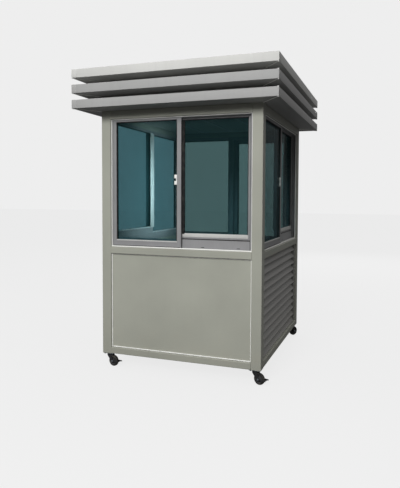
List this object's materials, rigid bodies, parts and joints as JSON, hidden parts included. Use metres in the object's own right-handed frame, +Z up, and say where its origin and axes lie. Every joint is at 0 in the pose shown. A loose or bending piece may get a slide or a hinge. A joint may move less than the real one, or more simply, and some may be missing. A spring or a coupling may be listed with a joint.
{
  "type": "security guard booth",
  "caption": "Security guard booth on swivel castors: glazed metal cabin with sliding windows, louvred side walls, a hinged door at the back and a flat roof with stepped fascia bands.",
  "frame": {"origin": "on the ground, below the middle of the cabin", "axes": "+X to the right seen from the front, +Y from the front to the back, +Z up"},
  "size_m": [1.84, 2.15, 2.679],
  "materials": {
    "frame_paint": "satin warm grey paint",
    "panel_paint": "satin warm grey paint",
    "louvre_paint": "satin grey paint",
    "roof_paint": "satin light grey paint",
    "lining_paint": "matt off-white paint",
    "bearer_paint": "matt dark grey paint",
    "floor_covering": "studded grey sheet flooring",
    "window_alloy": "satin anodised",
    "tinted_glass": "green-blue tinted float glass",
    "latch_plastic": "glossy white",
    "hinge_steel": "brushed",
    "handle_steel": "satin",
    "castor_steel": "bright zinc plate",
    "castor_black": "black enamel",
    "castor_rubber": "matt black"
  },
  "bodies": {
    "cabin": {"corner_posts": "frame_paint", "base_rails": "frame_paint", "sill_rails": "frame_paint", "head_rails": "frame_paint", "floor_bearers": "bearer_paint", "floor_deck": "floor_covering", "ceiling": "lining_paint", "front_panel": "panel_paint", "back_panel": "panel_paint", "left_louvre": "louvre_paint", "right_louvre": "louvre_paint", "side_linings": "lining_paint", "front_window_frame": "window_alloy", "left_window_frame": "window_alloy", "right_window_frame": "window_alloy", "back_window_frame": "window_alloy", "front_sashes": "window_alloy", "left_sashes": "window_alloy", "right_sashes": "window_alloy", "front_glass": "tinted_glass", "left_glass": "tinted_glass", "right_glass": "tinted_glass", "back_glass": "tinted_glass", "window_latches": "latch_plastic", "door_frame": "window_alloy", "door_hinge_pins": "hinge_steel", "roof_core": "roof_paint", "fascia_bottom": "roof_paint", "fascia_middle": "roof_paint", "fascia_top": "roof_paint", "roof_deck": "roof_paint", "castor_plates": "castor_steel"},
    "door": {"door_leaf": "window_alloy", "door_panel": "panel_paint", "door_glass": "tinted_glass", "door_handle": "handle_steel", "door_knuckles": "hinge_steel"},
    "castor_fork_front_left": {"castor_fork_front_left": "castor_black"},
    "castor_wheel_front_left": {"castor_wheel_front_left": "castor_rubber"},
    "castor_fork_front_right": {"castor_fork_front_right": "castor_black"},
    "castor_wheel_front_right": {"castor_wheel_front_right": "castor_rubber"},
    "castor_fork_back_left": {"castor_fork_back_left": "castor_black"},
    "castor_wheel_back_left": {"castor_wheel_back_left": "castor_rubber"},
    "castor_fork_back_right": {"castor_fork_back_right": "castor_black"},
    "castor_wheel_back_right": {"castor_wheel_back_right": "castor_rubber"}
  },
  "joints": [
    {"name": "door_swing", "type": "hinge", "parent": "cabin", "child": "door", "pos_m": [0.6375, 0.8455, 1.2], "axis": [0, 0, -1], "range_deg": [0, 100]},
    {"name": "castor_swivel_front_left", "type": "hinge", "parent": "cabin", "child": "castor_fork_front_left", "pos_m": [-0.695, -0.805, 0.108], "axis": [0, 0, 1], "continuous": true},
    {"name": "castor_roll_front_left", "type": "hinge", "parent": "castor_fork_front_left", "child": "castor_wheel_front_left", "pos_m": [-0.66077, -0.81228, 0.05], "axis": [0.2079, 0.9781, 0], "continuous": true},
    {"name": "castor_swivel_front_right", "type": "hinge", "parent": "cabin", "child": "castor_fork_front_right", "pos_m": [0.695, -0.805, 0.108], "axis": [0, 0, 1], "continuous": true},
    {"name": "castor_roll_front_right", "type": "hinge", "parent": "castor_fork_front_right", "child": "castor_wheel_front_right", "pos_m": [0.72789, -0.81697, 0.05], "axis": [0.342, 0.9397, 0], "continuous": true},
    {"name": "castor_swivel_back_left", "type": "hinge", "parent": "cabin", "child": "castor_fork_back_left", "pos_m": [-0.695, 0.805, 0.108], "axis": [0, 0, 1], "continuous": true},
    {"name": "castor_roll_back_left", "type": "hinge", "parent": "castor_fork_back_left", "child": "castor_wheel_back_left", "pos_m": [-0.7125, 0.83531, 0.05], "axis": [-0.866, -0.5, 0], "continuous": true},
    {"name": "castor_swivel_back_right", "type": "hinge", "parent": "cabin", "child": "castor_fork_back_right", "pos_m": [0.695, 0.805, 0.108], "axis": [0, 0, 1], "continuous": true},
    {"name": "castor_roll_back_right", "type": "hinge", "parent": "castor_fork_back_right", "child": "castor_wheel_back_right", "pos_m": [0.71508, 0.83367, 0.05], "axis": [-0.8192, 0.5736, 0], "continuous": true}
  ]
}
